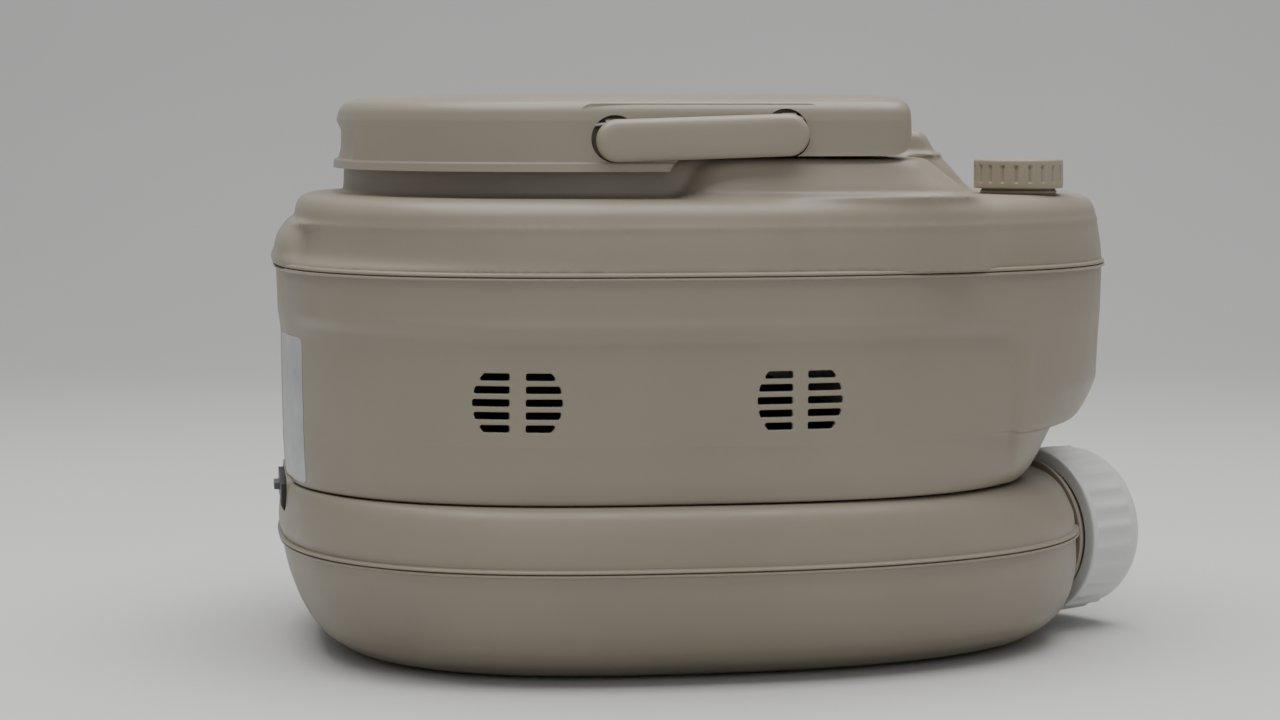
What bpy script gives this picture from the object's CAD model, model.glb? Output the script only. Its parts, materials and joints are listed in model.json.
# Portable toilet: the looks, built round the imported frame. Drawing coordinates are millimetres,
# the same as in the CAD source; to_row() turns them into the frame's metres.
import json
import math

import bpy
import numpy as np
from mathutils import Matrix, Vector
from mathutils.bvhtree import BVHTree


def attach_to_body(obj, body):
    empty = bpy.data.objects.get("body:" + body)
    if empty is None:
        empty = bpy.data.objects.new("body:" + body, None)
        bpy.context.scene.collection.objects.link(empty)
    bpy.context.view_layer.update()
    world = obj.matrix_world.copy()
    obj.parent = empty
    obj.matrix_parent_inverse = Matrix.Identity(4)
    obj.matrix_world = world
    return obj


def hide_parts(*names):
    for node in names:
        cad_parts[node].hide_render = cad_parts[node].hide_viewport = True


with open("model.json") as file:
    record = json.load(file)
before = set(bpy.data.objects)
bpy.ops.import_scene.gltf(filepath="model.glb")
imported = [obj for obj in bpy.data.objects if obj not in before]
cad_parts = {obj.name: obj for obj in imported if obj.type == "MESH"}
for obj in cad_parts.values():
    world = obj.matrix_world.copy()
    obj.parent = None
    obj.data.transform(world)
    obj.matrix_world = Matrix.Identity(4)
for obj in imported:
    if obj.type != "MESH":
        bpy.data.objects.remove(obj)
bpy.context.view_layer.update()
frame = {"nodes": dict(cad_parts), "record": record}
XM = 60.65
HW = 171.0


def to_row(p):
    p = np.array(p, dtype=np.float64) / 1000.0
    p[..., 0] -= XM / 1000.0
    return p


# ------------------------------------------------------------------ materials
def principled(name):
    m = bpy.data.materials.new(name)
    m.use_nodes = True
    nt = m.node_tree
    b = nt.nodes["Principled BSDF"]
    return m, nt, b


def new(nt, kind, **props):
    n = nt.nodes.new(kind)
    for k, v in props.items():
        setattr(n, k, v)
    return n


def noise(nt, coord, scale, detail=3.0, rough=0.55, stretch=None):
    if stretch is not None:
        mp = new(nt, "ShaderNodeMapping")
        mp.inputs["Scale"].default_value = stretch
        nt.links.new(coord, mp.inputs["Vector"])
        coord = mp.outputs["Vector"]
    n = new(nt, "ShaderNodeTexNoise")
    n.inputs["Scale"].default_value = scale
    n.inputs["Detail"].default_value = detail
    n.inputs["Roughness"].default_value = rough
    nt.links.new(coord, n.inputs["Vector"])
    return n.outputs["Fac"]


def ramp(nt, fac, a, b, lo=0.0, hi=1.0):
    r = new(nt, "ShaderNodeMapRange")
    r.inputs["From Min"].default_value = a
    r.inputs["From Max"].default_value = b
    r.inputs["To Min"].default_value = lo
    r.inputs["To Max"].default_value = hi
    nt.links.new(fac, r.inputs["Value"])
    return r.outputs["Result"]


def mix_col(nt, fac, a, b):
    m = new(nt, "ShaderNodeMix", data_type="RGBA")
    if isinstance(fac, float):
        m.inputs[0].default_value = fac
    else:
        nt.links.new(fac, m.inputs[0])
    for sock, v in ((m.inputs[6], a), (m.inputs[7], b)):
        if isinstance(v, tuple):
            sock.default_value = (*v, 1.0)
        else:
            nt.links.new(v, sock)
    return m.outputs[2]


def math_node(nt, op, a, b=None):
    m = new(nt, "ShaderNodeMath", operation=op)
    for i, v in ((0, a), (1, b)):
        if v is None:
            continue
        if isinstance(v, (int, float)):
            m.inputs[i].default_value = float(v)
        else:
            nt.links.new(v, m.inputs[i])
    return m.outputs[0]


def moulded(name, col, rough=0.42, spread=0.05, grain=0.00003, grain_scale=1500.0, wave=0.00012, wear=0.5, scuff=0.35, spec=0.45):
    """Moulded plastic: slow colour drift, sink marks, a fine mould grain, rubbed edges and a few faint scuffs."""
    m, nt, b = principled(name)
    tc = new(nt, "ShaderNodeTexCoord")
    obj = tc.outputs["Object"]
    c = np.array(col)
    dark, light = tuple(c * (1 - spread)), tuple(np.minimum(c * (1 + spread), 1))
    drift = ramp(nt, noise(nt, obj, 9.0, 4.0), 0.3, 0.7)
    base = mix_col(nt, drift, dark, light)
    # speckle of the resin
    speck = ramp(nt, noise(nt, obj, 900.0, 2.0), 0.62, 0.78)
    base = mix_col(nt, math_node(nt, "MULTIPLY", speck, 0.10), base, tuple(c * 0.72))
    # rubbed edges
    geo = new(nt, "ShaderNodeNewGeometry")
    edge = ramp(nt, geo.outputs["Pointiness"], 0.515, 0.56)
    edge = math_node(nt, "MULTIPLY", edge, wear * 0.35)
    base = mix_col(nt, edge, base, tuple(np.minimum(c * 1.35 + 0.03, 1)))
    # long faint scuffs
    sc = noise(nt, obj, 6.0, 5.0, 0.6, (1.0, 1.0, 26.0))
    sc = ramp(nt, sc, 0.66, 0.74)
    patch = ramp(nt, noise(nt, obj, 5.0, 2.0), 0.5, 0.62)
    sc = math_node(nt, "MULTIPLY", math_node(nt, "MULTIPLY", sc, patch), scuff)
    base = mix_col(nt, math_node(nt, "MULTIPLY", sc, 0.35), base, tuple(np.minimum(c * 1.25 + 0.02, 1)))
    nt.links.new(base, b.inputs["Base Color"])
    r = ramp(nt, noise(nt, obj, 40.0, 4.0), 0.3, 0.7, rough - 0.05, rough + 0.05)
    r = math_node(nt, "ADD", r, math_node(nt, "MULTIPLY", sc, 0.12))
    nt.links.new(r, b.inputs["Roughness"])
    b.inputs["Specular IOR Level"].default_value = spec
    h1 = noise(nt, obj, grain_scale, 2.0)
    h2 = noise(nt, obj, 22.0, 2.0, 0.4)
    bp = new(nt, "ShaderNodeBump")
    bp.inputs["Strength"].default_value = 0.6
    bp.inputs["Distance"].default_value = grain
    nt.links.new(h1, bp.inputs["Height"])
    bp2 = new(nt, "ShaderNodeBump")
    bp2.inputs["Strength"].default_value = 0.5
    bp2.inputs["Distance"].default_value = wave
    nt.links.new(h2, bp2.inputs["Height"])
    nt.links.new(bp.outputs["Normal"], bp2.inputs["Normal"])
    nt.links.new(bp2.outputs["Normal"], b.inputs["Normal"])
    return m


def steel():
    m, nt, b = principled("steel_wire")
    tc = new(nt, "ShaderNodeTexCoord")
    obj = tc.outputs["Object"]
    n = noise(nt, obj, 300.0, 3.0, 0.5, (1.0, 1.0, 12.0))
    nt.links.new(mix_col(nt, ramp(nt, n, 0.3, 0.7), (0.46, 0.46, 0.47), (0.64, 0.64, 0.65)), b.inputs["Base Color"])
    nt.links.new(ramp(nt, n, 0.3, 0.7, 0.26, 0.42), b.inputs["Roughness"])
    b.inputs["Metallic"].default_value = 1.0
    return m


def sticker_film():
    m, nt, b = principled("sticker_film")
    tc = new(nt, "ShaderNodeTexCoord")
    obj = tc.outputs["Object"]
    n = ramp(nt, noise(nt, obj, 60.0, 4.0), 0.3, 0.7)
    nt.links.new(mix_col(nt, n, (0.36, 0.37, 0.38), (0.46, 0.47, 0.48)), b.inputs["Base Color"])
    nt.links.new(ramp(nt, noise(nt, obj, 35.0, 3.0), 0.3, 0.7, 0.3, 0.42), b.inputs["Roughness"])
    b.inputs["Metallic"].default_value = 0.35
    bp = new(nt, "ShaderNodeBump")
    bp.inputs["Strength"].default_value = 0.4
    bp.inputs["Distance"].default_value = 0.00006
    nt.links.new(noise(nt, obj, 120.0, 3.0), bp.inputs["Height"])
    nt.links.new(bp.outputs["Normal"], b.inputs["Normal"])
    return m


BODY = (0.262, 0.232, 0.182)
M_BODY = moulded("body_plastic", BODY)
M_HANDLE = moulded("handle_plastic", tuple(v * 1.06 for v in BODY), rough=0.40, wear=0.7)
M_CAP = moulded("cap_white", (0.62, 0.62, 0.615), rough=0.38, spread=0.015, wear=0.1, scuff=0.2, wave=0.00008)
M_FILL = moulded("cap_beige", (0.30, 0.262, 0.195), rough=0.42, wear=0.8)
M_SEAT = moulded("seat_plastic", (0.29, 0.258, 0.205), rough=0.30, spread=0.03, grain=0.00001, wave=0.00008, scuff=0.5)
M_BLACK = moulded("black_plastic", (0.022, 0.022, 0.023), rough=0.45, spread=0.15, wear=0.4)
M_GREY = moulded("grey_plastic", (0.09, 0.09, 0.093), rough=0.4, spread=0.08)
M_RED = moulded("red_plastic", (0.36, 0.03, 0.02), rough=0.32, spread=0.06)
M_NATURAL = moulded("natural_plastic", (0.60, 0.585, 0.52), rough=0.35, spread=0.03, wear=0.1)
M_RUBBER = moulded("rubber_black", (0.018, 0.018, 0.018), rough=0.7, spread=0.2, wear=0.2, spec=0.3)
M_STEEL = steel()
M_STICKER = sticker_film()

SLOT_MAT = {"body_taupe": M_BODY, "cap_beige": M_FILL, "cap_white": M_CAP, "seat_taupe": M_SEAT, "black_plastic": M_BLACK,
            "grey_plastic": M_GREY, "red_plastic": M_RED, "natural_plastic": M_NATURAL, "rubber_black": M_RUBBER,
            "steel": M_STEEL, "sticker_silver": M_STICKER}
NODE_SLOT = {s["node"]: s["material_slot"] for s in frame["record"]["subparts"]}
NODE_BODY = {n: b for b, ns in frame["record"]["behaviour"]["bodies"].items() for n in ns}
for name, ob in frame["nodes"].items():
    ob.data.materials.clear()
    ob.data.materials.append(SLOT_MAT[NODE_SLOT[name]])


# ------------------------------------------------------------------ mesh helpers
def make(name, verts, faces, mat, node=None, angle=38.0, mm=True):
    """A mesh object from arrays. faces: list of arrays (n, 3) or (n, 4), or a list of index lists."""
    v = to_row(verts) if mm else np.asarray(verts)
    me = bpy.data.meshes.new(name)
    groups = faces if isinstance(faces, list) else [faces]
    loops, starts, at = [], [], 0
    for g in groups:
        g = np.asarray(g, dtype=np.int32)
        if g.ndim == 1:
            g = g[None, :]
        k = g.shape[1]
        loops.append(g.ravel())
        starts.append(at + np.arange(0, g.size, k, dtype=np.int32))
        at += g.size
    loops, starts = np.concatenate(loops), np.concatenate(starts)
    me.vertices.add(len(v))
    me.vertices.foreach_set("co", v.astype(np.float32).ravel())
    me.loops.add(len(loops))
    me.loops.foreach_set("vertex_index", loops)
    me.polygons.add(len(starts))
    me.polygons.foreach_set("loop_start", starts)
    me.update(calc_edges=True)
    me.validate()
    ob = bpy.data.objects.new(name, me)
    bpy.context.scene.collection.objects.link(ob)
    me.materials.append(mat)
    shade(ob, angle)
    if node:
        attach(ob, node)
    return ob


def shade(ob, angle=38.0):
    me = ob.data
    me.polygons.foreach_set("use_smooth", np.ones(len(me.polygons), dtype=bool))
    me.set_sharp_from_angle(angle=math.radians(angle))
    me.update()


def attach(ob, *nodes):
    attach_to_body(ob, NODE_BODY[nodes[0]])
    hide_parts(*nodes)
    return ob


def join(name, obs):
    for o in bpy.context.selected_objects:
        o.select_set(False)
    for o in obs:
        o.select_set(True)
    bpy.context.view_layer.objects.active = obs[0]
    bpy.ops.object.join()
    obs[0].name = name
    return obs[0]


def boolean(ob, cutter, op="DIFFERENCE", angle=38.0):
    md = ob.modifiers.new("b", "BOOLEAN")
    md.operation, md.solver, md.object = op, "EXACT", cutter
    for o in bpy.context.selected_objects:
        o.select_set(False)
    bpy.context.view_layer.objects.active = ob
    ob.select_set(True)
    bpy.ops.object.modifier_apply(modifier="b")
    bpy.data.objects.remove(cutter, do_unlink=True)
    shade(ob, angle)
    return ob


def grid_faces(m, n, close=True, loop=False):
    """Quads between m rings of n points."""
    i = np.arange(n if close else n - 1)
    j = (i + 1) % n
    out = []
    for k in range(m if loop else m - 1):
        a, b = k * n, ((k + 1) % m) * n
        out.append(np.stack([a + i, a + j, b + j, b + i], 1))
    return np.concatenate(out)


def rounded(st, d=3.0, seg=4):
    """Stations with every inner corner rounded by d mm (a quadratic curve)."""
    st = np.array(st, dtype=float)
    out = [st[0]]
    for k in range(1, len(st) - 1):
        p, v, q = st[k - 1], st[k], st[k + 1]
        la, lb = np.linalg.norm(v - p), np.linalg.norm(q - v)
        dd = d if np.isscalar(d) else d[k]
        a = v + (p - v) * min(dd / la, 0.46)
        b = v + (q - v) * min(dd / lb, 0.46)
        for s in np.linspace(0, 1, seg + 1):
            out.append((1 - s) ** 2 * a + 2 * s * (1 - s) * v + s * s * b)
    out.append(st[-1])
    return np.array(out)


def fill(st, f=2.6, r=2.4):
    """Adds the default fullness columns."""
    return np.array([list(s) + [f, r][len(s) - 4:] if len(s) < 6 else list(s) for s in st], dtype=float)


def quadrant(a, b, e, n):
    """Even points along a quarter outline from (a, 0) to (0, b), first included."""
    ph = np.linspace(0, math.pi / 2, 1400)
    c, s = np.cos(ph), np.sin(ph)
    c[-1], s[0] = 0.0, 0.0
    rad = ((c / a) ** e + (s / b) ** e) ** (-1.0 / e)
    x, y = rad * c, rad * s
    L = np.concatenate([[0], np.cumsum(np.hypot(np.diff(x), np.diff(y)))])
    t = np.linspace(0, L[-1], n + 1)
    return np.interp(t, L, x), np.interp(t, L, y)


def ring(z, xf, xr, b, f=2.6, r=2.4, c=15.0, n=150):
    xa, ya = quadrant(xr - c, b, r, n)
    xb, yb = quadrant(c - xf, b, f, n)
    x = np.concatenate([xa[:-1], -xb[::-1][:-1], -xb[:-1], xa[::-1][:-1]]) + c
    y = np.concatenate([ya[:-1], yb[::-1][:-1], -yb[:-1], -ya[::-1][:-1]])
    return np.stack([x, y, np.full_like(x, z)], 1)


def rings(st, c=15.0, n=150, f=2.6, r=2.4):
    return np.array([ring(s[0], s[1], s[2], s[3], s[4], s[5], c, n) for s in fill(st, f, r)])


def normals(P):
    """Outward unit normals of a closed grid of rings."""
    du = np.roll(P, -1, 1) - np.roll(P, 1, 1)
    dv = np.gradient(P, axis=0)
    nrm = np.cross(du, dv)
    return nrm / np.maximum(np.linalg.norm(nrm, axis=2, keepdims=True), 1e-9)


def smooth(x, a, b):
    t = np.clip((np.asarray(x, float) - a) / (b - a), 0, 1)
    return t * t * (3 - 2 * t)


def shell(name, P, mat, node=None, loop=False, caps=True, angle=38.0):
    m, n = P.shape[:2]
    faces = [grid_faces(m, n, loop=loop)]
    if not loop and caps:
        faces += [np.arange(n)[::-1], (m - 1) * n + np.arange(n)]
    return make(name, P.reshape(-1, 3), faces, mat, node, angle)


def revolve(name, prof, mat, axis_o=(0, 0, 0), frame_m=None, n=128, node=None, loop=True, fn=None, angle=38.0):
    """Rings round local Z. prof: (r, z) pairs; loop joins the last to the first. fn(r, z, a) may change r."""
    prof = np.array(prof, float)
    a = np.linspace(0, 2 * math.pi, n, endpoint=False)
    R = prof[:, 0][:, None] + 0 * a
    Z = prof[:, 1][:, None] + 0 * a
    if fn is not None:
        R = fn(R, Z, a[None, :])
    P = np.stack([R * np.cos(a), R * np.sin(a), Z], 2)
    if frame_m is not None:
        P = P @ frame_m.T
    P = P + np.array(axis_o)
    m = len(prof)
    faces = [grid_faces(m, n, loop=loop)]
    if not loop:
        faces += [np.arange(n)[::-1], (m - 1) * n + np.arange(n)]
    return make(name, P.reshape(-1, 3), faces, mat, node, angle)


def curve_pts(pts, r, seg=5):
    """Polyline in a plane with its inner corners rounded by r."""
    return rounded(pts, r, seg)


def fix_normals(ob):
    import bmesh
    bm = bmesh.new()
    bm.from_mesh(ob.data)
    bmesh.ops.recalc_face_normals(bm, faces=bm.faces)
    bm.to_mesh(ob.data)
    bm.free()


def prism(name, outline, y0, y1, axis="y"):
    """Closed prism of a 2D outline along an axis, for cutting."""
    o = np.array(outline, float)
    n = len(o)
    rows = []
    for v in (y0, y1):
        if axis == "y":
            rows.append(np.stack([o[:, 0], np.full(n, v), o[:, 1]], 1))
        else:
            rows.append(np.stack([o[:, 0], o[:, 1], np.full(n, v)], 1))
    P = np.array(rows)
    ob = make(name, P.reshape(-1, 3), [grid_faces(2, n), np.arange(n)[::-1], n + np.arange(n)], M_BODY)
    fix_normals(ob)
    return ob


def circle2(cx, cy, r, n=64, a0=0.0, a1=2 * math.pi, end=False):
    a = np.linspace(a0, a1, n, endpoint=end)
    return np.stack([cx + r * np.cos(a), cy + r * np.sin(a)], 1)


def capsule2(cx, cz, half, r, tilt=0.0, n=24):
    """Stadium outline with its straight sides along x, turned by tilt degrees."""
    right = circle2(half, 0, r, n, -math.pi / 2, math.pi / 2, True)
    left = circle2(-half, 0, r, n, math.pi / 2, 1.5 * math.pi, True)
    o = np.concatenate([right, left])
    t = math.radians(tilt)
    return np.stack([cx + o[:, 0] * math.cos(t) - o[:, 1] * math.sin(t), cz + o[:, 0] * math.sin(t) + o[:, 1] * math.cos(t)], 1)


def rounded_rect(x0, y0, x1, y1, r, n=8):
    out = []
    for cx, cy, a in ((x1 - r, y1 - r, 0), (x0 + r, y1 - r, 90), (x0 + r, y0 + r, 180), (x1 - r, y0 + r, 270)):
        out.append(circle2(cx, cy, r, n, math.radians(a), math.radians(a + 90), True))
    return np.concatenate(out)


# ------------------------------------------------------------------ implicit shells
def field(grid, st, c, f, r):
    """About the distance to a lofted solid without caps, on a grid."""
    x, y, z, h = grid
    st = np.array(st)
    a_f = np.interp(z, st[:, 0], c - st[:, 1]).astype(np.float32)
    a_r = np.interp(z, st[:, 0], st[:, 2] - c).astype(np.float32)
    b = np.interp(z, st[:, 0], st[:, 3]).astype(np.float32)
    X = (x - c).astype(np.float32)[:, None, None]
    Y = np.abs(y).astype(np.float32)[None, :, None]
    out = np.empty((len(x), len(y), len(z)), np.float32)
    fr = x < c
    for sel, a, e in ((fr, a_f, f), (~fr, a_r, r)):
        if sel.any():
            g = (np.abs(X[sel]) / a[None, None, :]) ** e + (Y / b[None, None, :]) ** e
            out[sel] = g ** (1.0 / e) - 1.0
    g = np.gradient(out, h)
    n = np.sqrt(g[0] ** 2 + g[1] ** 2 + g[2] ** 2)
    return out / np.maximum(n, 1e-4)


def smin(a, b, k):
    h = np.clip(0.5 + 0.5 * (b - a) / k, 0, 1)
    return b + (a - b) * h - k * h * (1 - h)


def smax(a, b, k):
    return -smin(-a, -b, k)


def surface(grid, D):
    """Surface nets over a field, then moved onto the field's zero."""
    x, y, z, h = grid
    o = np.array([x[0], y[0], z[0]])
    ins = D < 0
    nx, ny, nz = D.shape

    def corner(A, c):
        return A[c[0]:nx - 1 + c[0], c[1]:ny - 1 + c[1], c[2]:nz - 1 + c[2]]

    cs = [(i, j, k) for i in (0, 1) for j in (0, 1) for k in (0, 1)]
    total = sum(corner(ins, c).astype(np.int8) for c in cs)
    mixed = (total > 0) & (total < 8)
    idx = np.full(mixed.shape, -1, np.int64)
    cells = np.argwhere(mixed)
    idx[mixed] = np.arange(len(cells))
    vals = {c: corner(D, c)[mixed] for c in cs}
    pos, cnt = np.zeros((len(cells), 3)), np.zeros(len(cells))
    for c in cs:
        for ax in range(3):
            if c[ax] == 0:
                d = list(c)
                d[ax] = 1
                a, b = vals[c], vals[tuple(d)]
                cr = (a < 0) != (b < 0)
                t = a[cr] / (a[cr] - b[cr])
                p = np.tile(np.array(c, float), (cr.sum(), 1))
                p[:, ax] = t
                pos[cr] += p
                cnt[cr] += 1
    V = o + h * (cells + pos / cnt[:, None])
    faces = []
    for ax in range(3):
        sl0 = [slice(None)] * 3
        sl1 = [slice(None)] * 3
        sl0[ax], sl1[ax] = slice(0, -1), slice(1, None)
        a, b = ins[tuple(sl0)], ins[tuple(sl1)]
        u, w = (ax + 1) % 3, (ax + 2) % 3
        e = np.argwhere(a != b)
        e = e[(e[:, u] > 0) & (e[:, w] > 0) & (e[:, u] < D.shape[u] - 1) & (e[:, w] < D.shape[w] - 1)]
        quad = []
        for du, dw in ((-1, -1), (0, -1), (0, 0), (-1, 0)):
            q = e.copy()
            q[:, u] += du
            q[:, w] += dw
            quad.append(idx[q[:, 0], q[:, 1], q[:, 2]])
        quad = np.stack(quad, 1)
        flip = ~a[e[:, 0], e[:, 1], e[:, 2]]
        quad[flip] = quad[flip][:, ::-1]
        faces.append(quad)
    F = np.concatenate(faces)
    F = F[(F >= 0).all(1)]

    def sample(A, p):
        q = (p - o) / h
        i = np.clip(np.floor(q).astype(int), 0, np.array(A.shape) - 2)
        t = np.clip(q - i, 0, 1)
        out = 0
        for c in cs:
            w = np.prod(np.where(np.array(c) == 1, t, 1 - t), axis=1)
            out = out + w * A[i[:, 0] + c[0], i[:, 1] + c[1], i[:, 2] + c[2]]
        return out

    G = np.gradient(D, h)
    for _ in range(3):
        d = sample(D, V)
        g = np.stack([sample(G[k], V) for k in range(3)], 1)
        s = d / np.maximum((g ** 2).sum(1), 0.05)
        V = V - np.clip(s, -0.7 * h, 0.7 * h)[:, None] * g
    return V, F


def relax(V, F, times=2, amount=0.5):
    """Evens a quad mesh: each point moves towards the middle of its neighbours, then part of the way back."""
    e = np.concatenate([F[:, [0, 1]], F[:, [1, 2]], F[:, [2, 3]], F[:, [3, 0]]])
    e = np.concatenate([e, e[:, ::-1]])
    n = np.bincount(e[:, 0], minlength=len(V))[:, None]
    for _ in range(times):
        for k in (amount, -amount * 1.02):
            s = np.stack([np.bincount(e[:, 0], weights=V[e[:, 1], i], minlength=len(V)) for i in range(3)], 1)
            V = V + k * (s / np.maximum(n, 1) - V)
    return V


# ------------------------------------------------------------------ waste tank
def bead_low(b0, xf0, xr0, z0, z1, out, up):
    """Stations of one half of a seam bead: from the wall at z0 to the seam at z1. up says which side the wall is."""
    s = 1 if z1 > z0 else -1
    g = []
    for dz, o in ((0.0, 0.0), (0.25, 0.25), (0.45, 0.75), (0.75, 0.95), (1.1, 1.0), ):
        g.append((z0 + s * dz, o))
    for dz, o in ((0.8, 1.0), (0.42, 0.92), (0.2, 0.62), (0.08, 0.25), (0.0, -0.1)):
        g.append((z1 - s * dz, o))
    return [[z, xf0 - out * o, xr0 + out * o, b0 + out * o] for z, o in g]


NQ = 150
SP = math.radians(32.0)
SDIR = np.array([math.cos(SP), math.sin(SP), 0.0])
SO = np.array([227.8, -12.0, 50.0])
SPOUT_M = np.array([[0.0, -SDIR[1], SDIR[0]], [0.0, SDIR[0], SDIR[1]], [-1.0, 0.0, 0.0]])  # columns: local x down, y across, z along the spout


def notch_cut(z0, z1, r=6.0):
    o = rounded_rect(-0.0, -48, 90, 48, r)
    c, s = math.cos(SP), math.sin(SP)
    q = np.stack([SO[0] + o[:, 0] * c - o[:, 1] * s, SO[1] + o[:, 0] * s + o[:, 1] * c], 1)
    return prism("cut", q, z0, z1, axis="z")


base_st = [[0.0, -114, 210, 118], [0.7, -123.5, 219.5, 127.5], [3.2, -133, 228.6, 136.4], [9, -142, 237.4, 146], [16, -148.4, 244.4, 153.2], [26, -154, 248.6, 160.5],
           [39, -159, 250.6, 166.2], [48, -161.2, 250.2, 168.4], [54.0, -161.9, 249.8, HW - 2]]
base_prof = np.concatenate([rounded(base_st, 4.0, 4)[:-1], np.array(bead_low(HW - 2, -161.9, 249.8, 54.0, 56.0, 2.0, False))])
top_st = [[58.1, -162.4, 249.5, HW - 2], [62, -163.9, 249.3, HW - 1.8], [66, -163.8, 248.6, HW - 1.6], [76, -163, 243.8, HW - 2.2], [81, -162.8, 239.5, HW - 3.8], [84.2, -162.2, 234.6, HW - 6.4], [85.6, -161.2, 230.4, HW - 8.8], [86, -160.0, 226.6, HW - 11.2], [86.05, -155.5, 213.4, HW - 15.6],
          [86.5, -154.2, 211.7, HW - 16.9], [89.4, -153.7, 210.7, HW - 17.5], [90.0, -152.6, 209.4, HW - 18.7], [90.0, -148.6, 205, HW - 25]]
top_prof = np.concatenate([np.array(bead_low(HW - 2, -162.4, 249.5, 58.1, 56.0, 2.0, True))[::-1], rounded(top_st, 4.0, 4)[1:]])


def bead_dip(P, z0, amount, spread):
    """The moulding's seam runs a little lower round the near front corner."""
    w = np.exp(-((P[..., 2] - z0) / spread) ** 2)
    k = smooth(-P[..., 0], 60, 150) * smooth(-P[..., 1], -40, 70)
    P[..., 2] -= amount * w * k
    return P


def facet(P):
    """The soft flat on the lower corners of the tank."""
    z = P[..., 2]
    x, y = P[..., 0], P[..., 1]
    for sx, sy in ((-1, -1), (-1, 1)):
        dirv = np.array([sx * 0.60, sy * 0.62, -0.50])
        dirv = dirv / np.linalg.norm(dirv)
        d = x * dirv[0] + y * dirv[1] + z * dirv[2]
        lim = d.max() - 7.0
        over = np.maximum(d - lim, 0)
        soft = np.where(over > 0, over - 2.2 * (1 - np.exp(-over / 2.2)), 0)
        P[..., 0] -= soft * dirv[0]
        P[..., 1] -= soft * dirv[1]
        P[..., 2] -= soft * dirv[2] * 0.0
    return P


def tank_base():
    out = rings(base_prof, n=NQ)
    out = facet(out)
    inner = rings([[56.0, -158.4, 246.1, HW - 5.6], [39, -155.6, 247.2, 162.8], [26, -150.8, 245.2, 157], [16, -145, 240.8, 149.6], [9, -138.4, 233.6, 142], [4.4, -129.5, 225, 133], [3.4, -110, 208, 116]], n=NQ)
    ob = shell("tank_base_looks", np.concatenate([out, inner]), M_BODY)
    fix_normals(ob)
    boolean(ob, notch_cut(-5, 61))
    # walls round the spout recess
    o = rounded_rect(-3.0, -51, 40, 51, 6)
    c, s = math.cos(SP), math.sin(SP)
    return ob


def tank_wall(z0, z1, prof, name):
    """The wall of the tank behind the pour spout: the part of the recess box that is inside the tank's outline."""
    o = rounded_rect(-3.0, -51, 92, 51, 6)
    c, s = math.cos(SP), math.sin(SP)
    q = np.stack([SO[0] + o[:, 0] * c - o[:, 1] * s, SO[1] + o[:, 0] * s + o[:, 1] * c], 1)
    w = prism(name, q, z0, z1, axis="z")
    body = shell("cut", prof, M_BODY)
    fix_normals(body)
    boolean(w, body, "INTERSECT")
    boolean(w, notch_cut(z0 - 5, z1 + 5))
    hole = revolve("cut", [(35.2, -14), (35.2, 30)], M_BODY, SO, SPOUT_M, 64, loop=False)
    fix_normals(hole)
    boolean(w, hole)
    return w


ob = tank_base()
w = tank_wall(1.0, 55.9, rings(rounded(base_st, 4.0, 4) - np.array([0, -0.4, 0.4, 0.4]), n=60), "w")
ob = join("tank_base_looks", [ob, w])
shade(ob)
attach(ob, "waste_tank_base")

P = rings(top_prof, n=NQ)
inner = rings([[87, -146, 203, HW - 28], [86.8, -150.2, 207.4, HW - 21], [83, -150.9, 208.4, HW - 20], [82.7, -158.4, 230, HW - 10.4], [76, -160.4, 240.8, HW - 5.6], [66, -161.1, 245, HW - 4.8], [56.0, -158.4, 246.1, HW - 5.6]], n=NQ)
ob = shell("tank_top_looks", np.concatenate([inner, P]), M_BODY)
fix_normals(ob)
boolean(ob, notch_cut(50, 96))
boolean(ob, prism("cut", circle2(-14, 0, 45, 96), 60, 100, "z"))
boolean(ob, prism("cut", circle2(110, 80, 8.2, 48), 60, 100, "z"))
boolean(ob, prism("cut", rounded_rect(202.6, -7.4, 207.0, 14, 1.2, 4), 82, 100, "z"))
# recess for the valve handle in the front wall, with its inner box
o = rounded_rect(-42, 71.5, 42, 87.0, 4)
n_ = len(o)
rows = [np.stack([np.full(n_, v), o[:, 0], o[:, 1]], 1) for v in (-190.0, -151.5)]
hr = make("cut", np.concatenate(rows), [grid_faces(2, n_), np.arange(n_)[::-1], n_ + np.arange(n_)], M_BODY)
fix_normals(hr)
boolean(ob, hr)
o2 = rounded_rect(-45, 69.5, 45, 88.6, 5)
rows = [np.stack([np.full(n_, v), q[:, 0], q[:, 1]], 1) for v, q in ((-160.9, o), (-160.9, o2), (-148.5, o2), (-148.5, o * [0.3, 0.12] + [0, 70.2]), (-151.5, o * [0.3, 0.12] + [0, 70.2]), (-151.5, o))]
box = make("box", np.concatenate(rows), [grid_faces(6, n_, loop=True)], M_BODY)
fix_normals(box)
w = tank_wall(56.1, 85.9, rings(rounded(top_st[:8], 4.0, 4) - np.array([0, -0.4, 0.4, 0.4]), n=60), "w")
ob = join("tank_top_looks", [ob, w, box])
shade(ob)
attach(ob, "waste_tank_top")


# pour spout cap: white, ribbed, with a smooth rounded rim
def cap_fn(R, Z, a):
    rib = 0.5 + 0.5 * np.cos(26 * a)
    rib = rib ** 1.6
    w = smooth(Z, 8.6, 11.5) * (1 - smooth(Z, 35.2, 38.5)) * (R > 39)
    return R + w * (1.5 * rib - 0.2)


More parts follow.
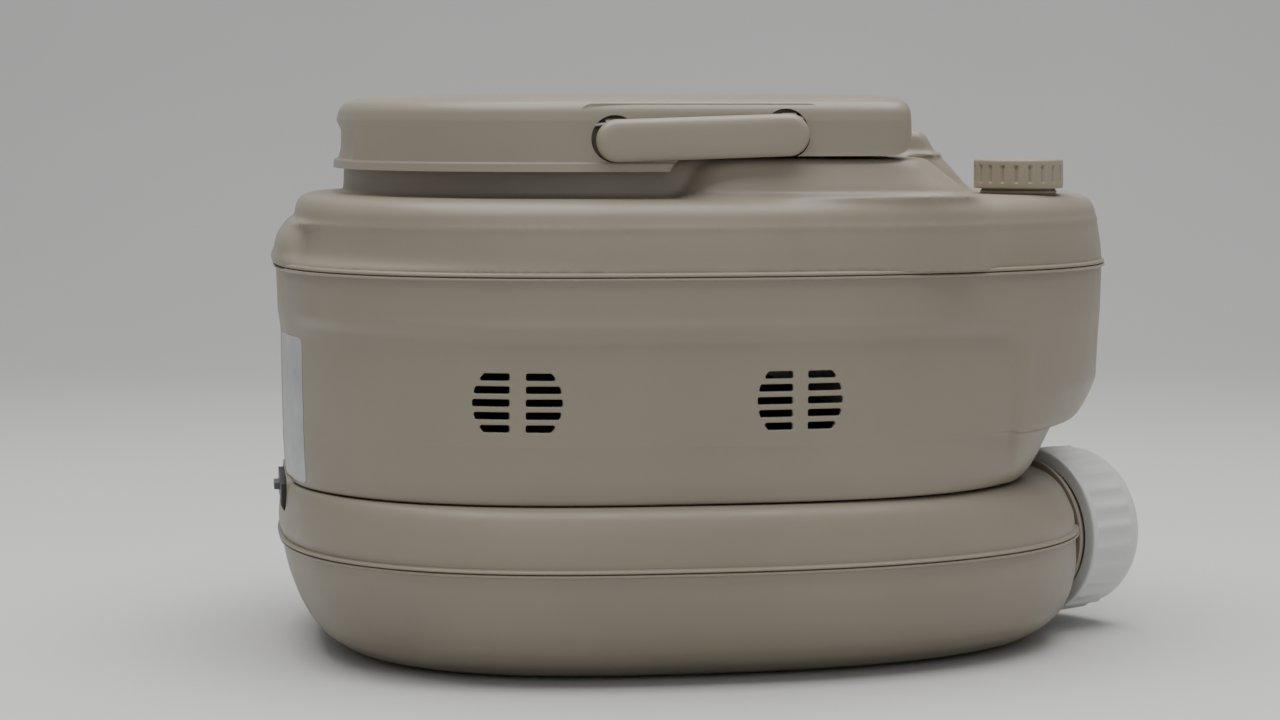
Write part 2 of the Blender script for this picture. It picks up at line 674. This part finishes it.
cap_prof = curve_pts([(37.0, 6.2), (42.6, 6.0), (43.5, 6.6), (43.5, 8.8), (42.0, 10.4), (41.9, 36.5), (41.4, 41.5), (38.8, 46.2), (34.0, 48.8), (28.0, 49.4), (15.0, 48.9), (0.4, 48.8)], 1.2, 4)
cap_prof = np.concatenate([cap_prof, [(0.4, 45.6), (20.0, 45.6), (37.0, 45.4), (37.0, 30.0)]])
fine = []
for k in range(len(cap_prof) - 1):
    a, b = cap_prof[k], cap_prof[k + 1]
    steps = max(1, int(np.linalg.norm(b - a) / 2.0)) if b[0] > 39 else 1
    for t in range(steps):
        fine.append(a + (b - a) * t / steps)
fine.append(cap_prof[-1])
revolve("pour_cap_looks", fine, M_CAP, SO, SPOUT_M, 26 * 14, "spout_cap", fn=cap_fn)
neck = curve_pts([(31.5, -13), (35.2, -13), (35.2, 0), (39, 0), (39, 2.5), (35.2, 2.5), (35.2, 14), (36.6, 14.8), (36.6, 16.2), (35.2, 17), (35.2, 22), (36.6, 22.8), (36.6, 24.2), (35.2, 25), (35.2, 30), (36.6, 30.8), (36.6, 32.2), (35.2, 33), (35.2, 42.6), (34.6, 43), (32, 43), (31.5, 42.6), (31.5, -12)], 0.5, 3)
revolve("spout_neck_looks", neck, M_BODY, SO, SPOUT_M, 128, "spout_neck")

# ------------------------------------------------------------------ side skirt
skirt_st = [[86.35, -158.6, 213.6, HW - 12.6, 2.6, 2.85], [86.8, -159.8, 215.8, HW - 11.4, 2.6, 2.85], [88, -160.4, 218.0, HW - 10.8, 2.6, 2.85], [92, -160.8, 221.6, HW - 10, 2.6, 2.85], [98, -161.3, 225.8, HW - 8.8, 2.6, 2.82], [105, -161.7, 229.6, HW - 7.6, 2.6, 2.78],
            [111, -161.8, 233.6, HW - 6.6, 2.6, 2.7], [113.3, -161.9, 236.0, HW - 6.2, 2.6, 2.66], [114.2, -162, 243.2, HW - 6, 2.6, 2.56], [116.2, -162, 249.0, HW - 5.9, 2.6, 2.5], [120.8, -162.1, 253.4, HW - 5.5, 2.6, 2.44], [128, -162.3, 258, HW - 5.1, 2.6, 2.4], [135, -162.5, 261, HW - 4.6, 2.6, 2.4],
            [160, -162.9, 262.4, HW - 3.4, 2.6, 2.4], [171, -164.5, 263.3, HW - 2.2, 2.6, 2.4], [192.5, -165.3, 264, HW - 1.6, 2.6, 2.4]]
skirt_prof = rounded(skirt_st, 2.4, 4)
zs = skirt_prof[:, 0]
# even rows between the rounded stations, so that the panel can be pressed in
fine = []
for k in range(len(skirt_prof) - 1):
    a, b = skirt_prof[k], skirt_prof[k + 1]
    steps = max(1, int(np.ceil(np.linalg.norm((b - a)[:4]) / (1.3))))
    for t in range(steps):
        fine.append(a + (b - a) * t / steps)
bead = fill(bead_low(HW - 1.6, -165.3, 264, 192.5, 194.45, 1.6, False))
out = rings(np.concatenate([np.array(fine), bead]), n=NQ + 30)


def panel(P):
    """Soft ridge and the side panel below it, which is pressed in and ends in a rounded corner at the rear."""
    N = normals(P)
    x, z = P[..., 0], P[..., 2]
    side = smooth(np.abs(P[..., 1]), 60, 110)
    front = smooth(-x, 60, 140)
    zc = 168.0 + 2.6 * front
    # distance to the rounded outline of the panel, seen from the side
    rx, rz, rad = 196.0, zc, 15.0
    qx, qz = x - (rx - rad), z - (rz - rad)
    d = np.where((qx > 0) & (qz > 0), np.hypot(qx, qz) - rad, np.maximum(qx, qz) - rad)
    low = smooth(z, 92, 112)
    press = (1 - smooth(d, -5.5, 0.6)) * 1.9 * side * (0.25 + 0.75 * low)
    ridge = np.exp(-((d - 2.6) / 3.0) ** 2) * 0.75 * side * smooth(z, 120, 150)
    return P + N * (ridge - press)[..., None]


out = panel(out)
inner = rings([[194.45, -161.2, 259.8, HW - 5.6], [171, -160.3, 258.8, HW - 6.8], [135, -158.3, 256.6, HW - 9.4], [128, -158.1, 253.4, HW - 9.8], [121.8, -157.9, 248.6, HW - 10.2],
               [118.6, -157.8, 243.6, HW - 10.4], [117, -157.8, 238.2, HW - 10.6], [115.8, -157.7, 232.2, HW - 10.8], [111, -157.6, 229.2, HW - 11.2], [105, -157.4, 225.4, HW - 12], [98, -157.2, 221.6, HW - 12.8], [92, -157, 217.4, HW - 13.6], [87, -156.6, 212.4, HW - 14.8], [86.4, -157.4, 212.6, HW - 13.8]], n=NQ + 30)
skirt = shell("side_skirt_looks", np.concatenate([out, inner]), M_BODY, loop=True)
fix_normals(skirt)


def slot_outline(zk, side, h=3.4, pitch=6.1, bar=3.8, R=20.8, rc=0.9):
    """One vent slot: a row cut by a circle, with small rounded corners. side is -1 or 1."""
    z0, z1 = zk - h / 2, zk + h / 2
    rr = R - rc
    a, b = z0 + rc, z1 - rc
    x_in = bar + rc
    za = np.linspace(a, b, 7)
    outer = np.stack([np.sqrt(np.maximum(rr * rr - za ** 2, (x_in + 1) ** 2)), za], 1)
    core = np.concatenate([[[x_in, a]], outer, [[x_in, b]]])
    # round by rc: offset the convex core polygon
    pts = []
    n = len(core)
    for i in range(n):
        p, v, q = core[i - 1], core[i], core[(i + 1) % n]
        d1, d2 = (v - p) / np.linalg.norm(v - p), (q - v) / np.linalg.norm(q - v)
        a1, a2 = math.atan2(-d1[0], d1[1]), math.atan2(-d2[0], d2[1])
        while a2 < a1 - 1e-9:
            a2 += 2 * math.pi
        steps = max(1, int((a2 - a1) / 0.35))
        for t in range(steps + 1):
            an = a1 + (a2 - a1) * t / steps
            pts.append([v[0] + rc * math.cos(an), v[1] + rc * math.sin(an), math.cos(an), math.sin(an)])
    pts = np.array(pts)
    keep = [0]
    for i in range(1, len(pts)):
        if np.hypot(*(pts[i, :2] - pts[keep[-1], :2])) > 0.03:
            keep.append(i)
    pts = pts[keep]
    if side < 0:
        pts = pts[::-1].copy()
        pts[:, 0] *= -1
        pts[:, 2] *= -1
    return pts


skirt.data.calc_loop_triangles()
vv = np.empty(len(skirt.data.vertices) * 3)
skirt.data.vertices.foreach_get("co", vv)
vv = vv.reshape(-1, 3) * 1000 + [XM, 0, 0]
tree = BVHTree.FromPolygons([Vector(v) for v in vv], [list(p.vertices) for p in skirt.data.polygons])


def skin_y(x, z, s):
    hit = tree.ray_cast(Vector((x, s * 260.0, z)), Vector((0, -s, 0)))
    return abs(hit[0].y)


verts, faces, at = [], [], 0
for cx in (-56.0, 78.0):
    for s in (-1, 1):
        for k in range(-2, 3):
            for side in (-1, 1):
                o = slot_outline(k * 6.1, side)
                rows = []
                for off, dep in ((1.3, -1.0), (0.85, -0.02), (0.5, 0.07), (0.22, 0.28), (0.05, 0.6), (0.0, 1.1), (0.0, 9.0)):
                    px, pz = cx + o[:, 0] + off * o[:, 2], 135.6 + o[:, 1] + off * o[:, 3]
                    yy = np.array([skin_y(a, b, s) for a, b in zip(px, pz)]) - dep
                    if dep > 8:
                        yy = np.full(len(o), yy.min())
                    rows.append(np.stack([px, s * yy, pz], 1))
                n_ = len(o)
                verts.append(np.concatenate(rows))
                f = grid_faces(len(rows), n_)
                faces.append((f + at, np.arange(n_)[::-1] + at, np.arange(n_) + at + (len(rows) - 1) * n_))
                at += n_ * len(rows)
cut = make("vents", np.concatenate(verts), [q for t in faces for q in t], M_BODY)
fix_normals(cut)
boolean(skirt, cut, angle=50)
# latch recess in the rear slope
boolean(skirt, prism("cut", rounded_rect(202.8, -13.5, 268, 15, 1.5, 4), 84, 108.5, "z"), angle=50)
attach(skirt, "side_skirt")

# ------------------------------------------------------------------ deck shell
h = 1.35
gx = np.arange(-174, 272, h)
gy = np.arange(-177, 177 + h, h)
gz = np.arange(192.0, 270.0, h)
G = (gx, gy, gz, h)
deck_st = [[190, -165.5, 264.2, HW - 1.1], [197.6, -164.6, 264, HW - 1.4], [199.6, -160.6, 263.8, HW - 1.8], [202.6, -157.7, 263.7, HW - 2], [208, -156.4, 263, HW - 2.4], [218, -155.9, 261.4, HW - 3.6], [224, -155.2, 260, HW - 5],
           [228, -153.0, 256.6, HW - 8.2], [230.3, -147.6, 250.6, HW - 13], [231.6, -139, 240, HW - 22], [233, -112, 212, HW - 50]]
plat_st = [[190, 8, 182, 158], [224, 12.4, 177.5, 156.4], [235, 17, 169, 153], [241, 20.5, 161, 150.6], [246.6, 23.4, 153.8, 148.6], [249.2, 26.2, 150.6, 146.6], [250.4, 31, 146, 142], [252, 60, 118, 120]]
neck_st = [[190, -132, 110, 142], [246, -130, 110, 138.8], [249, -129.4, 110, 138], [250.3, -126, 110, 134], [252, -110, 100, 118]]
hump_st = [[190, 126, 206, 70], [225, 128, 195, 66], [233, 131, 190, 64], [241, 140, 183, 62], [247, 146.4, 177.5, 60], [252, 147, 172, 58.5], [260, 147.6, 167, 57], [262.8, 148.6, 163.3, 54.5], [264, 150.6, 160, 50], [265.4, 153, 156, 30]]
boss_st = [[190, -166.8, -114.6, 63], [203, -166.0, -114.6, 61.6], [208, -164.8, -114.6, 60.0], [212, -162.6, -114.6, 57.4], [215, -159.2, -114.6, 54.0], [216.8, -152.6, -114.6, 49], [218, -144, -124, 36]]
D = field(G, rounded(deck_st, 2.5, 4), 15, 2.6, 2.4)
zz = gz.astype(np.float32)[None, None, :]
D = smax(D, np.broadcast_to(zz - 231.0, D.shape), 2.0)
boss = smax(field(G, rounded(boss_st, 2.5, 4), -136.6, 5, 5), np.broadcast_to(zz - 216.8, D.shape), 3.0)
D = smin(D, boss, 8.0)
plat = smax(field(G, rounded(plat_st, 2.5, 4), 92, 7, 7), np.broadcast_to(zz - 250.0, D.shape), 2.0)
D = smin(D, plat, 7.0)
hump = smax(field(G, rounded(hump_st, 2.5, 4), 154, 5, 5), np.broadcast_to(zz - 264.0, D.shape), 3.0)
D = smin(D, hump, 5.0)
del plat, hump, boss
nk = smax(field(G, rounded(neck_st, 2.0, 4), 25, 2.6, 6), np.broadcast_to(zz - 250.0, D.shape), 2.0)
D = smin(D, nk, 3.0)
del nk
D = smax(D, -(D + 4.6), 0.5)
# bowl opening, fill neck and pump holes
open_ = field(G, [[190, -102, 66, 90], [270, -102, 66, 90]], -18, 2.3, 2.3)
D = smax(D, -open_, 3.0)
for cx, cy, r in ((206, -80, 18.2), (197, 83, 18.2)):
    cyl = (np.hypot(gx[:, None] - cx, gy[None, :] - cy) - r).astype(np.float32)[:, :, None]
    D = smax(D, -cyl, 1.0)
D = np.maximum(D, 195.6 - zz)
V, F = surface(G, D)
del D
V = relax(V, F, 3)
deck = make("deck_shell_looks", V, F, M_BODY, angle=60)
lip = fill(bead_low(HW - 1.4, -164.9, 263.9, 196.7, 194.55, 1.4, True))[::-1]
lip = np.concatenate([lip, fill([[196.9, -162.7, 261, HW - 4], [196.9, -160.7, 259, HW - 6], [194.55, -160.7, 259, HW - 6]])])
lp = shell("lip", rings(lip, n=NQ + 30), M_BODY, loop=True)
fix_normals(lp)
deck = join("deck_shell_looks", [deck, lp])
shade(deck, 50)
attach(deck, "deck_shell")

# ------------------------------------------------------------------ lid
lid_st = [[243.6, -135.6, 138.7, 150.7], [247.3, -135.3, 138.7, 150.5], [248.2, -134.5, 138.7, 149.9], [268, -133.9, 138.6, 149.4], [273.2, -132.9, 138.3, 148.6], [276.6, -130, 137, 145.6], [278.9, -124, 134, 139.8], [280.4, -110, 124, 126], [281.0, -78, 96, 96], [281.2, -18, 40, 40]]
lid_prof = rounded(lid_st, [0, .4, .4, .4, 2.5, 2.5, 2.5, 4, 6, 9, 9], 5)
lid_prof = np.concatenate([[[243.9, -134.9, 138.2, 150.0]], lid_prof])
fine = []
for k in range(len(lid_prof) - 1):
    a, b = lid_prof[k], lid_prof[k + 1]
    steps = max(1, int(np.ceil(np.linalg.norm((b - a)[:4]) / 6.0)))
    for t in range(steps):
        fine.append(a + (b - a) * t / steps)
fine.append(lid_prof[-1])
LC, LF, LR = 10.0, 2.6, 20.0
out = rings(fine, LC, NQ, LF, LR)


def finger_tab(P):
    """Soft scoop in the middle of the lid's front edge."""
    x, y, z = P[..., 0], P[..., 1], P[..., 2]
    w = smooth(-x, 60, 110) * (1 - smooth(np.abs(y), 52, 62)) * (1 - smooth(z, 262, 268)) * smooth(z, 247.4, 249.5)
    P[..., 0] += w * 2.6
    return P


out = finger_tab(out)
inner = rings([[277.6, -18, 40, 40], [277.6, -88, 110, 108], [276.4, -120, 131, 136], [273, -127, 134.6, 143], [268, -129.6, 135.2, 145.2], [248, -130.4, 135.2, 146.2], [243.9, -131, 135.4, 146.6]], LC, NQ, LF, LR)
P = np.concatenate([inner, out])
m_, n_ = P.shape[:2]
lid = make("lid_looks", P.reshape(-1, 3), [grid_faces(m_, n_), np.arange(n_)[::-1], (m_ - 1) * n_ + np.arange(n_)], M_BODY)
fix_normals(lid)
# pockets for the carry handles: walls first
for s in (-1, 1):
    o = rounded_rect(33 - 60, 245.2, 33 + 60, 276.0, 8)
    y0, y1 = (139.8, 146.6) if s > 0 else (-146.6, -139.8)
    boolean(lid, prism("add", o, y0, y1), "UNION")
# what is cut away below the lid, seen from the side
low = [(17, 225), (17, 243.4), (18.2, 246.0), (20.6, 248.4), (23.6, 250.0), (27, 250.7), (125, 250.9), (129.0, 251.5), (132.6, 253.2), (135.6, 255.9), (137.6, 259.4), (138.5, 263.0), (138.7, 266.0), (160, 266.0), (160, 225)]
boolean(lid, prism("cut", low, -170, 170))
HX, HZ, TILT = 33.0, 259.7, 1.9
for s in (-1, 1):
    y0, y1 = (142.7, 175.0) if s > 0 else (-175.0, -142.7)
    parts = [prism("cut", capsule2(HX, HZ, 41, 10.35, TILT), y0, y1)]
    t = math.radians(TILT)
    for ox, oz, rr in ((-41.9, 0.9, 11.3), (40.5, 1.9, 10.7), (41.9, -1.1, 9.9)):
        parts.append(prism("c", circle2(HX + ox * math.cos(t) - oz * math.sin(t), HZ + ox * math.sin(t) + oz * math.cos(t), rr, 64), y0, y1))
    cut = parts[0]
    for p in parts[1:]:
        boolean(cut, p, "UNION")
    boolean(lid, cut)
# slots in the rear wall that clear the hinge brackets
for s in (-1, 1):
    y0, y1 = sorted((s * 61.5, s * 69.7))
    o = rounded_rect(125, y0, 160, y1, 1.0, 3)
    boolean(lid, prism("cut", o, 240, 276, "z"))
# hinge ears
ears = []
for s in (-1, 1):
    prof = np.concatenate([circle2(125, 264.5, 6.6, 40, math.pi, 2 * math.pi, True), [[131.6, 277.9], [118.4, 277.9]]])
    hole = circle2(125, 264.5, 3.05, len(prof), math.pi, 3 * math.pi)
    y0, y1 = s * 70.0, s * 77.0
    rows = []
    for q, yv in ((prof, y0), (prof, y1), (hole, y1), (hole, y0)):
        rows.append(np.stack([q[:, 0], np.full(len(q), yv), q[:, 1]], 1))
    e = make("ear", np.concatenate(rows), [grid_faces(4, len(prof), loop=True)], M_BODY)
    fix_normals(e)
    ears.append(e)
lid = join("lid_looks", [lid] + ears)
shade(lid, 40)
attach(lid, "lid_shell")


# ------------------------------------------------------------------ carry handles
def handle(name, s, node):
    R = 10.2
    rows = []
    # outline offset and distance from the middle plane: a rounded bar with a flat face
    back = [(-2.2, 148.6), (-1.0, 148.3), (-0.35, 148.9), (0.0, 149.9)]
    face = [(0.0, 152.6), (-0.22, 153.9), (-0.8, 155.0), (-1.7, 155.9), (-2.9, 156.5), (-4.4, 156.78), (-6.5, 156.85)]
    for off, y in back + face:
        o = capsule2(0, 0, 41, R + off, 0, 28)
        if y < 152:  # the top edge is set back behind, so that it clears the lid as it swings
            o[:, 1] = np.minimum(o[:, 1], 7.9)
        rows.append(np.stack([o[:, 0], np.full(len(o), y), o[:, 1]], 1))
    P = np.array(rows)
    n_ = P.shape[1]
    bar = [(P.reshape(-1, 3), [grid_faces(len(rows), n_), np.arange(n_)[::-1], (len(rows) - 1) * n_ + np.arange(n_)])]
    # pin lugs behind both ends
    for e in (-1, 1):
        a = circle2(146, 8, 2.8, 24)
        q = []
        for x in (e * 42.5 - 3.5, e * 42.5 + 3.5):
            q.append(np.stack([np.full(24, x), a[:, 0], a[:, 1]], 1))
        bar.append((np.concatenate(q), [grid_faces(2, 24), np.arange(24)[::-1], 24 + np.arange(24)]))
        b = [(-2.8, 5.2), (-2.8, 8.0), (0.0, 8.0), (3.9, 7.6), (3.9, 4.0), (2.0, 4.0)]
        b = np.array(b)
        q = []
        for x in (e * 42.5 - 3.4, e * 42.5 + 3.4):
            q.append(np.stack([np.full(6, x), 146 + b[:, 0], b[:, 1]], 1))
        bar.append((np.concatenate(q), [grid_faces(2, 6), np.arange(6)[::-1], 6 + np.arange(6)]))
    obs = []
    t = math.radians(TILT)
    for v, f in bar:
        v = v.copy()
        x, z = v[:, 0].copy(), v[:, 2].copy()
        v[:, 0], v[:, 2] = HX + x * math.cos(t) - z * math.sin(t), HZ + x * math.sin(t) + z * math.cos(t)
        v[:, 1] *= s
        o = make("h", v, f, M_HANDLE)
        fix_normals(o)
        obs.append(o)
    ob = join(name, obs)
    shade(ob, 40)
    attach(ob, node)


handle("near_handle_looks", -1, "near_handle")
handle("far_handle_looks", 1, "far_handle")


# ------------------------------------------------------------------ fill cap and neck
def fill_fn(R, Z, a):
    g = np.maximum(0, np.cos(20 * a)) ** 3
    w = smooth(Z, 236.2, 237.2) * (1 - smooth(Z, 244.9, 245.5)) * (R > 21.5)
    return R - w * g * (0.95 + 0.5 * smooth(Z, 242.5, 244.6))


fp = curve_pts([(19.7, 233.8), (21.9, 233.6), (22.4, 234.1), (22.5, 236.0), (22.5, 245.6), (22.5, 247.2), (22.1, 248.0), (20.6, 248.4), (18.0, 248.5), (17.0, 248.2), (0.3, 248.2)], 0.5, 4)
fine = []
for k in range(len(fp) - 1):
    a, b = fp[k], fp[k + 1]
    steps = max(1, int(np.linalg.norm(b - a) / 0.45)) if b[0] > 21.6 else 1
    for t in range(steps):
        fine.append(a + (b - a) * t / steps)
fine += [fp[-1], (0.3, 246.0), (19.7, 246.0), (19.7, 236.0)]
revolve("fill_cap_looks", fine, M_FILL, (206, -80, 0), None, 20 * 16, "fill_cap", fn=fill_fn)
nk = curve_pts([(15.4, 211), (18.2, 211), (18.2, 231), (19.2, 231), (19.2, 232.4), (18.4, 233), (18.4, 235.5), (19.2, 235.9), (19.2, 236.7), (18.3, 237.1), (18.3, 239.5), (19.2, 239.9), (19.2, 240.7), (18.3, 241.1), (18.2, 242.6), (17.8, 243), (15.8, 243), (15.4, 242.6), (15.4, 212)], 0.3, 3)
revolve("fill_neck_looks", nk, M_BODY, (206, -80, 0), None, 96, "fill_neck")
# flush plunger and its collar
pl = curve_pts([(0.3, 226), (15.3, 226), (15.5, 226.2), (15.5, 230.2), (15.1, 231.1), (14.0, 231.8), (12.2, 232.15), (11.2, 231.9), (9.4, 231.3), (6.0, 230.9), (0.3, 230.8)], 0.6, 4)
pk = revolve("p1", np.concatenate([pl]), M_BODY, (197, 83, 0), None, 96, loop=False)
rod = revolve("p2", curve_pts([(0.3, 178.2), (15.9, 178.2), (15.9, 181), (14.6, 181.2), (14.6, 183.8), (15.9, 184), (15.9, 186.8), (5.0, 187), (5.0, 226.4), (0.3, 226.4)], 0.2, 2), M_BODY, (197, 83, 0), None, 64, loop=False)
pk = join("plunger_looks", [pk, rod])
shade(pk)
attach(pk, "pump_plunger")

# ------------------------------------------------------------------ seat and bowl
seat_o = rounded([[252.5, -125, 96, 128], [253.6, -127.4, 98.4, 130.4], [258, -128.5, 99.5, 131.5], [262, -126, 97.5, 129], [263.8, -120, 93, 123], [264.4, -113, 87, 116]], 1.8, 5)
seat_i = rounded([[264.4, -112, 82, 104], [264.1, -104, 72, 92], [262, -98, 66, 86], [258, -95, 63, 83], [253.6, -95, 63, 83], [252.5, -96, 64, 84]], 1.8, 5)
po, pi_ = rings(seat_o, -10, NQ, 2.5, 3.4), rings(seat_i, -16, NQ, 2.3, 2.3)
seat = shell("seat_looks", np.concatenate([po, pi_]), M_SEAT, loop=True)
fix_normals(seat)
arms = []
for s in (-1, 1):
    o = np.array([[88, 255.6], [88, 263.2], [108, 263.0], [118, 263.4], [120, 269.3], [124, 271.4], [128, 270.8], [131.2, 267.6], [132, 264.5], [131, 260.6], [128, 258.1], [124, 257.4], [114, 256.4]])
    o = np.concatenate([o[:4], circle2(125, 264.5, 7.0, 32, math.radians(170), math.radians(-110), True), o[-1:]])
    P = np.array([np.stack([o[:, 0], np.full(len(o), s * v), o[:, 1]], 1) for v in (54.2, 61.8)])
    n_ = len(o)
    a = make("arm", P.reshape(-1, 3), [grid_faces(2, n_), np.arange(n_)[::-1], n_ + np.arange(n_)], M_SEAT)
    fix_normals(a)
    boolean(a, prism("cut", circle2(125, 264.5, 3.05, 32), -200, 200))
    arms.append(a)
seat = join("seat_looks", [seat] + arms)
shade(seat)
attach(seat, "seat_ring")

bowl_o = rounded([[90.8, -55.4, 28, 41.2], [104, -56, 28, 42], [120, -64, 33, 50], [150, -84, 47, 68], [200, -100, 61, 86], [243, -104, 67, 91]], 5, 5)
bowl_i = rounded([[243.2, -111, 75, 99], [245.9, -111, 75, 99], [246, -110, 74, 98], [246, -101, 65, 89], [244, -99, 63, 87], [200, -97, 58, 83], [150, -81, 44, 65], [120, -61, 30, 47], [104, -53, 25, 39], [90.8, -53, 25, 39]], 4, 5)
bw = shell("bowl_looks", np.concatenate([rings(bowl_o, -16, NQ, 2.15, 2.15), rings(bowl_i, -16, NQ, 2.15, 2.15)]), M_SEAT, loop=True)
fix_normals(bw)
hole = revolve("cut", [(5.05, 40), (5.05, 80)], M_BODY, (0, 0, 226), np.array([[0, 0, 1.0], [0, 1, 0], [-1, 0, 0]]), 32, loop=False)
fix_normals(hole)
boolean(bw, hole)
attach(bw, "bowl")


# ------------------------------------------------------------------ sticker
def sticker():
    """Bare film on the near front corner, following the skirt's skin, with rounded corners."""
    z0, z1 = 89.2, 161.0
    # find the skin by rays towards an axis inside the corner
    a0, a1 = math.radians(181.0), math.radians(209.5)
    nu, nv = 60, 66
    cx, cy = -60.0, -20.0
    us, vs = np.linspace(0, 1, nu), np.linspace(0, 1, nv)
    V = []
    for v in vs:
        for u in us:
            a = a0 + (a1 - a0) * u
            d = Vector((math.cos(a), math.sin(a), 0))
            z = z0 + (z1 - z0) * v
            hit = tree.ray_cast(Vector((cx, cy, z)) + d * 300, -d)
            p, nr = hit[0], hit[1]
            if nr.dot(d) < 0:
                nr = -nr
            V.append([p.x, p.y, p.z, nr.x, nr.y, nr.z])
    V = np.array(V).reshape(nv, nu, 6)
    width = np.linalg.norm(np.diff(V[nv // 2, :, :3], axis=0), axis=1).sum()
    hgt = z1 - z0
    rad = 3.5
    # rounded corners: squeeze the rows near the top and bottom ends
    P = V[..., :3].copy()
    for j, v in enumerate(vs):
        dz = min(v, 1 - v) * hgt
        if dz < rad:
            ins = rad - math.sqrt(max(rad * rad - (rad - dz) ** 2, 0))
            t = np.clip(np.linspace(ins / width, 1 - ins / width, nu), 0, 1)
            for k in range(3):
                P[j, :, k] = np.interp(t, us, V[j, :, k])
    top = P + V[..., 3:] * 0.22
    bot = P - V[..., 3:] * 0.15
    n = nu * nv
    g = np.arange(n).reshape(nv, nu)
    q = np.stack([g[:-1, :-1], g[:-1, 1:], g[1:, 1:], g[1:, :-1]], -1).reshape(-1, 4)
    edge = np.concatenate([g[0, :], g[1:, -1], g[-1, -2::-1], g[-2:0:-1, 0]])
    e2 = np.roll(edge, -1)
    side = np.stack([edge, e2, e2 + n, edge + n], 1)
    ob = make("sticker_looks", np.concatenate([top.reshape(-1, 3), bot.reshape(-1, 3)]), [q, q[:, ::-1] + n, side], M_STICKER, angle=60)
    fix_normals(ob)
    shade(ob, 60)
    attach(ob, "data_sticker")


sticker()

# ------------------------------------------------------------------ stage, light and camera
floor_m, nt, b = principled("floor")
tc = new(nt, "ShaderNodeTexCoord")
nt.links.new(mix_col(nt, ramp(nt, noise(nt, tc.outputs["Object"], 1.5, 2.0), 0.3, 0.7), (0.60, 0.60, 0.595), (0.63, 0.63, 0.625)), b.inputs["Base Color"])
b.inputs["Roughness"].default_value = 0.6
b.inputs["Specular IOR Level"].default_value = 0.2
prof = [(-3.0, 0.0), (1.6, 0.0)]
for t in np.linspace(0, math.pi / 2, 16):
    prof.append((1.6 + 1.2 * math.sin(t), 1.2 - 1.2 * math.cos(t)))
prof.append((2.8, 4.5))
th = math.radians(8.0)
V = []
for s_, z_ in prof:
    for u in (-5.0, 5.0):
        V.append([u * math.cos(th) + s_ * math.sin(th), -u * math.sin(th) + s_ * math.cos(th), z_])
V = np.array(V)
F = np.array([[2 * k, 2 * k + 1, 2 * k + 3, 2 * k + 2] for k in range(len(prof) - 1)])
fl = make("sweep_floor", V, F, floor_m, mm=False, angle=60)


def area(name, loc, target, size, power, col=(1, 1, 1), size_y=None):
    d = bpy.data.lights.new(name, "AREA")
    d.shape = "RECTANGLE"
    d.size, d.size_y = size, size_y or size
    d.energy = power
    d.color = col
    o = bpy.data.objects.new(name, d)
    bpy.context.scene.collection.objects.link(o)
    o.location = loc
    o.rotation_euler = (Vector(target) - Vector(loc)).to_track_quat("-Z", "Y").to_euler()
    return o


area("top", (0.0, -0.1, 1.9), (0, 0, 0), 2.4, 62, (1, 0.995, 0.985), 1.8)
area("front_fill", (-0.5, -2.6, 1.1), (0, 0, 0.12), 2.0, 7, (1, 1, 1), 1.4)
wd = bpy.data.worlds.new("studio")
bpy.context.scene.world = wd
wd.use_nodes = True
wd.node_tree.nodes["Background"].inputs["Color"].default_value = (0.82, 0.83, 0.84, 1)
wd.node_tree.nodes["Background"].inputs["Strength"].default_value = 0.36

cam = bpy.data.cameras.new("camera")
cam.sensor_width = 36.0
cam.lens = 84.375
cam.shift_y = -246.0 / 1280.0
cam.dof.use_dof = False
co = bpy.data.objects.new("camera", cam)
bpy.context.scene.collection.objects.link(co)
co.location = ((-194.8 - XM) / 1000, -1.5564, 0.271)
co.rotation_euler = (math.radians(90), 0, -th)
bpy.context.scene.camera = co
